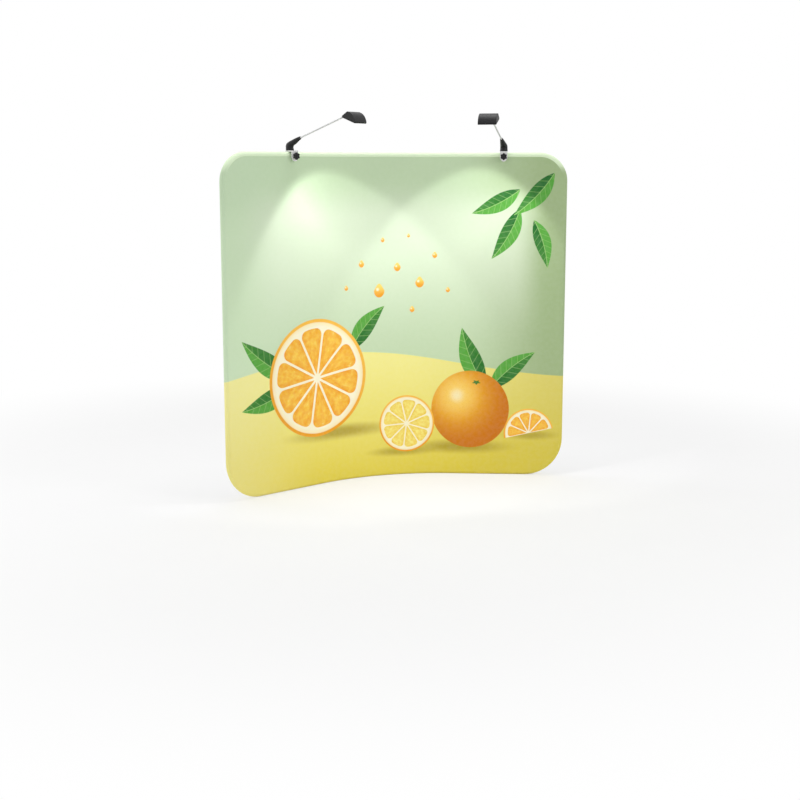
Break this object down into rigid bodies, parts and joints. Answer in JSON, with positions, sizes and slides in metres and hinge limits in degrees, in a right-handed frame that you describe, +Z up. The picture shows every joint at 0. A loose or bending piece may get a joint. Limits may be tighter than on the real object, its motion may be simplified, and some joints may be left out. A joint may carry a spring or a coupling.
{
  "type": "curved tabletop tension fabric display",
  "caption": "Curved tabletop display: printed stretch cover on a rounded tube frame, with clamp-on arm lamps along its top edge.",
  "frame": {"origin": "middle of the bottom edge, on the surface that the display stands on, on the frame's centre surface", "axes": "+Z up, +X to the viewer's right along the display's middle, -Y out of the printed hollow side"},
  "size_m": [1.801, 0.572, 1.8614],
  "materials": {
    "aluminium_tube": "satin",
    "saddle_plastic": "moulded",
    "spring_steel": "satin",
    "steel": "satin",
    "silver_rod": "satin bright",
    "black_plastic": "fine moulded texture",
    "clamp_plastic": "smooth",
    "rubber": "matt",
    "printed_fabric": "printed stretch knit",
    "white_fabric": "stretch knit",
    "zipper_tape": "woven tape",
    "zipper_teeth": "moulded",
    "clear_lens": "frosted",
    "light_board": "smooth"
  },
  "bodies": {
    "frame_and_cover": {"bottom_corner_tube_left": "aluminium_tube", "bottom_corner_tube_right": "aluminium_tube", "bottom_curve_tube": "aluminium_tube", "fabric_back": "white_fabric", "fabric_front": "printed_fabric", "lamp_clamp_left": "clamp_plastic", "lamp_clamp_right": "clamp_plastic", "post_saddle_bottom": "saddle_plastic", "post_saddle_top": "saddle_plastic", "post_tube_lower": "aluminium_tube", "post_tube_upper": "aluminium_tube", "spigot_bottom_left": "aluminium_tube", "spigot_bottom_right": "aluminium_tube", "spigot_lower_left": "aluminium_tube", "spigot_lower_right": "aluminium_tube", "spigot_post": "aluminium_tube", "spigot_top_left": "aluminium_tube", "spigot_top_right": "aluminium_tube", "spigot_upper_left": "aluminium_tube", "spigot_upper_right": "aluminium_tube", "top_corner_tube_left": "aluminium_tube", "top_corner_tube_right": "aluminium_tube", "top_curve_tube": "aluminium_tube", "upright_tube_left": "aluminium_tube", "upright_tube_right": "aluminium_tube", "zipper_tape": "zipper_tape", "zipper_teeth": "zipper_teeth"},
    "snap_button_top_left_body": {"snap_button_top_left": "spring_steel"},
    "snap_button_bottom_left_body": {"snap_button_bottom_left": "spring_steel"},
    "snap_button_upper_left_body": {"snap_button_upper_left": "spring_steel"},
    "snap_button_lower_left_body": {"snap_button_lower_left": "spring_steel"},
    "snap_button_top_right_body": {"snap_button_top_right": "spring_steel"},
    "snap_button_bottom_right_body": {"snap_button_bottom_right": "spring_steel"},
    "snap_button_upper_right_body": {"snap_button_upper_right": "spring_steel"},
    "snap_button_lower_right_body": {"snap_button_lower_right": "spring_steel"},
    "snap_button_post_body": {"snap_button_post": "spring_steel"},
    "zipper_slider_body": {"zipper_slider": "steel"},
    "zipper_pull_body": {"zipper_pull": "steel"},
    "clamp_pad_left_body": {"clamp_pad_left": "rubber"},
    "clamp_knob_left_body": {"clamp_knob_left": "black_plastic"},
    "arm_left_body": {"lamp_elbow_left": "black_plastic", "power_inlet_left": "rubber", "lamp_arm_left": "silver_rod"},
    "head_left_body": {"head_housing_left": "black_plastic", "head_bezel_left": "black_plastic", "head_lens_left": "clear_lens", "light_board_left": "light_board", "tilt_pin_left": "steel"},
    "clamp_pad_right_body": {"clamp_pad_right": "rubber"},
    "clamp_knob_right_body": {"clamp_knob_right": "black_plastic"},
    "arm_right_body": {"lamp_elbow_right": "black_plastic", "power_inlet_right": "rubber", "lamp_arm_right": "silver_rod"},
    "head_right_body": {"head_housing_right": "black_plastic", "head_bezel_right": "black_plastic", "head_lens_right": "clear_lens", "light_board_right": "light_board", "tilt_pin_right": "steel"}
  },
  "joints": [
    {"name": "press_snap_button_top_left", "type": "hinge", "parent": "frame_and_cover", "child": "snap_button_top_left_body", "pos_m": [-0.38853, -0.08841, 1.65346], "axis": [-0.3907, 0.9205, 0], "range_deg": [0, 5.19], "stiffness_Nm_per_rad": 1},
    {"name": "press_snap_button_bottom_left", "type": "hinge", "parent": "frame_and_cover", "child": "snap_button_bottom_left_body", "pos_m": [-0.38853, -0.08841, 0.02604], "axis": [0.3907, -0.9205, 0], "range_deg": [0, 5.19], "stiffness_Nm_per_rad": 1},
    {"name": "press_snap_button_upper_left", "type": "hinge", "parent": "frame_and_cover", "child": "snap_button_upper_left_body", "pos_m": [-0.87483, -0.29483, 1.2225], "axis": [0.3907, -0.9205, 0], "range_deg": [0, 5.19], "stiffness_Nm_per_rad": 1},
    {"name": "press_snap_button_lower_left", "type": "hinge", "parent": "frame_and_cover", "child": "snap_button_lower_left_body", "pos_m": [-0.87483, -0.29483, 0.49], "axis": [-0.3907, 0.9205, 0], "range_deg": [0, 5.19], "stiffness_Nm_per_rad": 1},
    {"name": "press_snap_button_top_right", "type": "hinge", "parent": "frame_and_cover", "child": "snap_button_top_right_body", "pos_m": [0.38853, -0.08841, 1.65346], "axis": [-0.3907, -0.9205, 0], "range_deg": [0, 5.19], "stiffness_Nm_per_rad": 1},
    {"name": "press_snap_button_bottom_right", "type": "hinge", "parent": "frame_and_cover", "child": "snap_button_bottom_right_body", "pos_m": [0.38853, -0.08841, 0.02604], "axis": [0.3907, 0.9205, 0], "range_deg": [0, 5.19], "stiffness_Nm_per_rad": 1},
    {"name": "press_snap_button_upper_right", "type": "hinge", "parent": "frame_and_cover", "child": "snap_button_upper_right_body", "pos_m": [0.87483, -0.29483, 1.2225], "axis": [0.3907, 0.9205, 0], "range_deg": [0, 5.19], "stiffness_Nm_per_rad": 1},
    {"name": "press_snap_button_lower_right", "type": "hinge", "parent": "frame_and_cover", "child": "snap_button_lower_right_body", "pos_m": [0.87483, -0.29483, 0.49], "axis": [-0.3907, -0.9205, 0], "range_deg": [0, 5.19], "stiffness_Nm_per_rad": 1},
    {"name": "press_snap_button_post", "type": "hinge", "parent": "frame_and_cover", "child": "snap_button_post_body", "pos_m": [0.00737, 0, 0.846], "axis": [0, -1, 0], "range_deg": [0, 5.19], "stiffness_Nm_per_rad": 1},
    {"name": "zip_slide", "type": "slide", "parent": "frame_and_cover", "child": "zipper_slider_body", "axis": [-0.9205, 0.3907, 0], "range_m": [0, 0.351]},
    {"name": "pull_flip", "type": "hinge", "parent": "zipper_slider_body", "child": "zipper_pull_body", "pos_m": [0.68446, -0.19034, 0.034], "axis": [0, 0, -1], "range_deg": [0, 175]},
    {"name": "clamp_pad_slide_left", "type": "slide", "parent": "frame_and_cover", "child": "clamp_pad_left_body", "axis": [0.3907, -0.9205, 0], "range_m": [0, 0.006]},
    {"name": "clamp_screw_turn_left", "type": "hinge", "parent": "clamp_pad_left_body", "child": "clamp_knob_left_body", "pos_m": [-0.50155, -0.16723, 1.6595], "axis": [0.3907, -0.9205, 0], "range_deg": [0, 1720]},
    {"name": "lamp_swivel_left", "type": "hinge", "parent": "frame_and_cover", "child": "arm_left_body", "pos_m": [-0.51265, -0.14109, 1.6866], "axis": [0, 0, 1], "range_deg": [-120, 120]},
    {"name": "head_tilt_left", "type": "hinge", "parent": "arm_left_body", "child": "head_left_body", "pos_m": [-0.31468, -0.42381, 1.84575], "axis": [-0.8192, -0.5736, 0], "range_deg": [-35, 60]},
    {"name": "clamp_pad_slide_right", "type": "slide", "parent": "frame_and_cover", "child": "clamp_pad_right_body", "axis": [-0.3907, -0.9205, 0], "range_m": [0, 0.006]},
    {"name": "clamp_screw_turn_right", "type": "hinge", "parent": "clamp_pad_right_body", "child": "clamp_knob_right_body", "pos_m": [0.58762, -0.20377, 1.6595], "axis": [-0.3907, -0.9205, 0], "range_deg": [0, 1720]},
    {"name": "lamp_swivel_right", "type": "hinge", "parent": "frame_and_cover", "child": "arm_right_body", "pos_m": [0.59872, -0.17763, 1.6866], "axis": [0, 0, 1], "range_deg": [-120, 120]},
    {"name": "head_tilt_right", "type": "hinge", "parent": "arm_right_body", "child": "head_right_body", "pos_m": [0.40075, -0.46035, 1.84575], "axis": [-0.8192, 0.5736, 0], "range_deg": [-35, 60]}
  ],
  "couplings": [
    {"joint": "clamp_pad_slide_left", "follows": "clamp_screw_turn_left", "m_per_rad": 0.00019894},
    {"joint": "clamp_pad_slide_right", "follows": "clamp_screw_turn_right", "m_per_rad": 0.00019894}
  ]
}
